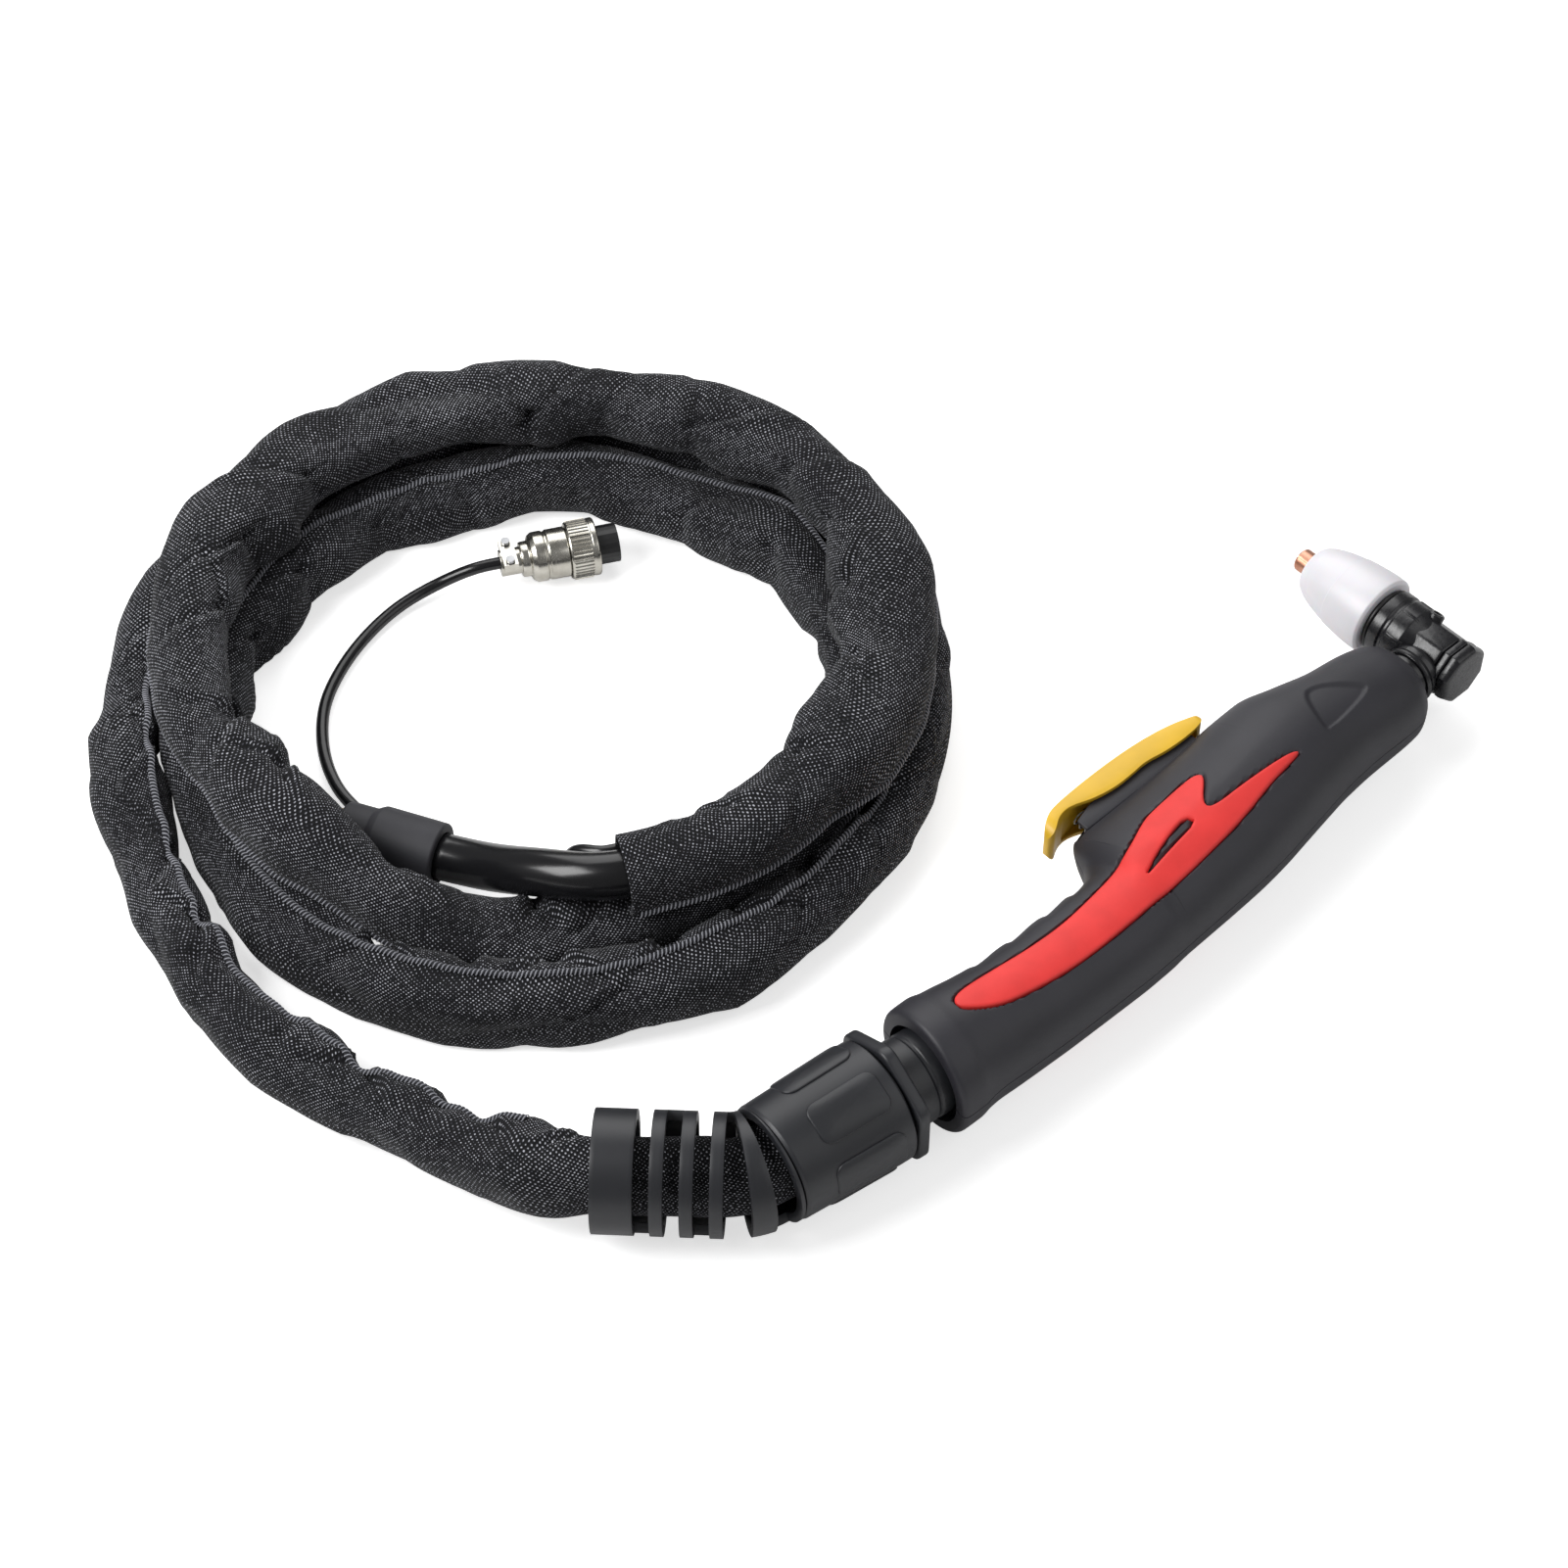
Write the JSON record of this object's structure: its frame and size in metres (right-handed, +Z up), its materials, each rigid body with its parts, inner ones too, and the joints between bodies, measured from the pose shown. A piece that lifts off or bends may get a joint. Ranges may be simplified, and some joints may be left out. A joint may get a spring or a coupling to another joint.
{
  "type": "plasma cutting torch",
  "caption": "Hand-held cutting torch with a ceramic cup, lever trigger, swivelling slotted bend relief and a fabric-sleeved hose laid in a coil.",
  "frame": {"origin": "bottom centre of the torch without its free cable, on the surface it lies on", "axes": "+X along the swivel axis from the cable towards the head, +Y towards the trigger and cup side, +Z up"},
  "size_m": [0.3786, 0.3336, 0.0404],
  "materials": {
    "handle_plastic": "moulded glass-filled nylon, fine matt texture",
    "grip_rubber": "overmoulded soft grip, satin",
    "trigger_plastic": "moulded nylon, satin",
    "plunger_plastic": "satin",
    "ceramic": "unglazed alumina, fired",
    "copper": null,
    "phenolic": "moulded phenolic, polished",
    "support_plastic": "moulded, semi-matt",
    "sleeve_fabric": "woven denim-like twill",
    "hose_rubber": "extruded, glossy",
    "boot_rubber": "moulded, matt",
    "nickel": "nickel-plated brass",
    "steel": "zinc-plated",
    "brass": "turned",
    "o_ring_rubber": "moulded",
    "insert_plastic": "moulded"
  },
  "bodies": {
    "cable_support": {"bend_relief": "support_plastic", "barrel_nut": "support_plastic", "sleeve_coil": "sleeve_fabric", "sleeve_lead_in": "sleeve_fabric", "control_lead": "hose_rubber", "plug_backshell": "nickel", "plug_insert": "insert_plastic", "hose_end": "hose_rubber", "rubber_boot": "boot_rubber", "swivel_neck": "support_plastic", "machine_fitting": "brass", "lock_flange": "support_plastic", "cord_clamp": "nickel", "hose_in_support": "hose_rubber", "clamp_screw_right": "steel", "clamp_screw_left": "steel", "lead_in_support": "hose_rubber", "plug_contact_1": "brass", "plug_contact_2": "brass", "plug_contact_3": "brass", "plug_contact_4": "brass", "plug_contact_5": "brass"},
    "handle": {"handle_shell_upper": "handle_plastic", "handle_shell_lower": "handle_plastic", "grip_panel_upper": "grip_rubber", "grip_panel_lower": "grip_rubber", "shell_screw_1": "steel", "shell_screw_2": "steel", "shell_screw_3": "steel", "shell_screw_4": "steel", "shell_screw_5": "steel", "hose_in_handle": "hose_rubber", "hose_ferrule": "brass", "switch_lead": "hose_rubber", "microswitch": "insert_plastic", "trigger_pin": "steel", "trigger_spring": "steel", "head_body": "phenolic", "rear_cap": "phenolic", "electrode": "copper", "swirl_ring": "ceramic", "cutting_tip": "copper", "shield_cup": "ceramic", "cup_o_ring": "o_ring_rubber"},
    "trigger_lever": {"trigger": "trigger_plastic"},
    "plunger": {"switch_plunger": "plunger_plastic"},
    "plug_ring": {"coupling_ring": "nickel"}
  },
  "joints": [
    {"name": "handle_swivel", "type": "hinge", "parent": "cable_support", "child": "handle", "pos_m": [-0.0609, -0.03329, 0.0195], "axis": [1, 0, 0], "range_deg": [-180, 180]},
    {"name": "trigger_pivot", "type": "hinge", "parent": "handle", "child": "trigger_lever", "pos_m": [0.06959, 0.0055, 0.0195], "axis": [0, 0, 1], "range_deg": [0, 4], "stiffness_Nm_per_rad": 1.5, "springref_deg": -4.58, "deforming": ["trigger_spring"]},
    {"name": "plunger_travel", "type": "slide", "parent": "handle", "child": "plunger", "axis": [0.1115, -0.9938, 0], "range_m": [0, 0.0021]},
    {"name": "coupling_ring_spin", "type": "hinge", "parent": "cable_support", "child": "plug_ring", "pos_m": [-0.02618, 0.19492, 0.0096], "axis": [0.9311, -0.3649, 0], "continuous": true}
  ],
  "couplings": [
    {"joint": "plunger_travel", "follows": "trigger_pivot", "m_per_rad": 0.027}
  ]
}
